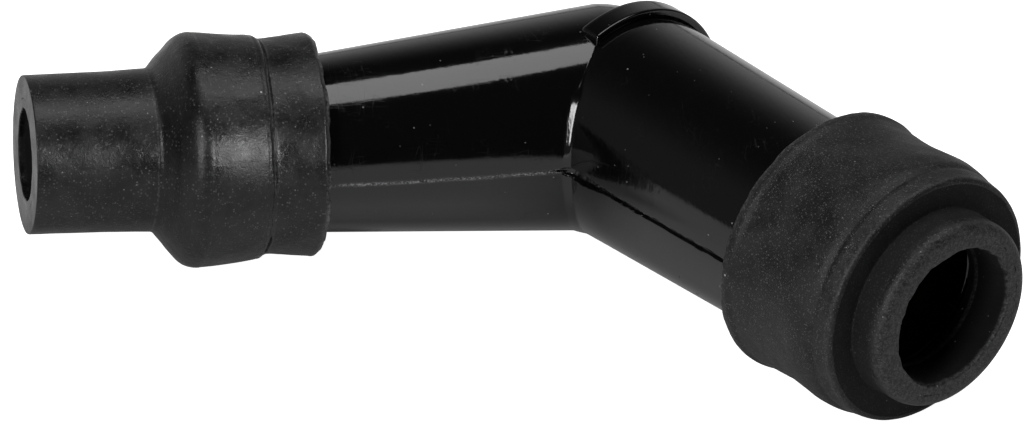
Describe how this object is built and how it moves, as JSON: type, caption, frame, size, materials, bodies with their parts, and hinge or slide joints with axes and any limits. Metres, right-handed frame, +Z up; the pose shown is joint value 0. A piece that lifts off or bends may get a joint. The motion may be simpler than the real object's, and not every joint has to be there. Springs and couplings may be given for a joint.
{
  "type": "spark plug cap",
  "caption": "Elbow spark plug cap: a hard moulded elbow with rubber seals joins an ignition cable to a spark plug and keeps water out.",
  "frame": {"origin": "middle of the bounding box in plan, on the surface that the cap lies on", "axes": "+Z up from the surface that the cap lies on its side on, -X along the cable arm towards the cable, the plug arm turned towards -Y"},
  "size_m": [0.0714, 0.0446, 0.021],
  "materials": {
    "phenolic": "gloss black phenolic moulding",
    "seal_rubber": "matte black moulded rubber with fine grain",
    "brass": "turned brass",
    "steel": "plated steel",
    "ceramic": "unglazed ceramic rod"
  },
  "bodies": {
    "root": {"body": "phenolic", "cable_seal": "seal_rubber", "plug_seal": "seal_rubber", "cable_screw": "steel", "resistor_cap_rear": "steel", "resistor_rod": "ceramic", "resistor_cap_front": "steel", "contact_spring": "steel", "contact_rivet": "brass", "terminal_socket": "brass", "retaining_clip": "steel"}
  },
  "joints": []
}
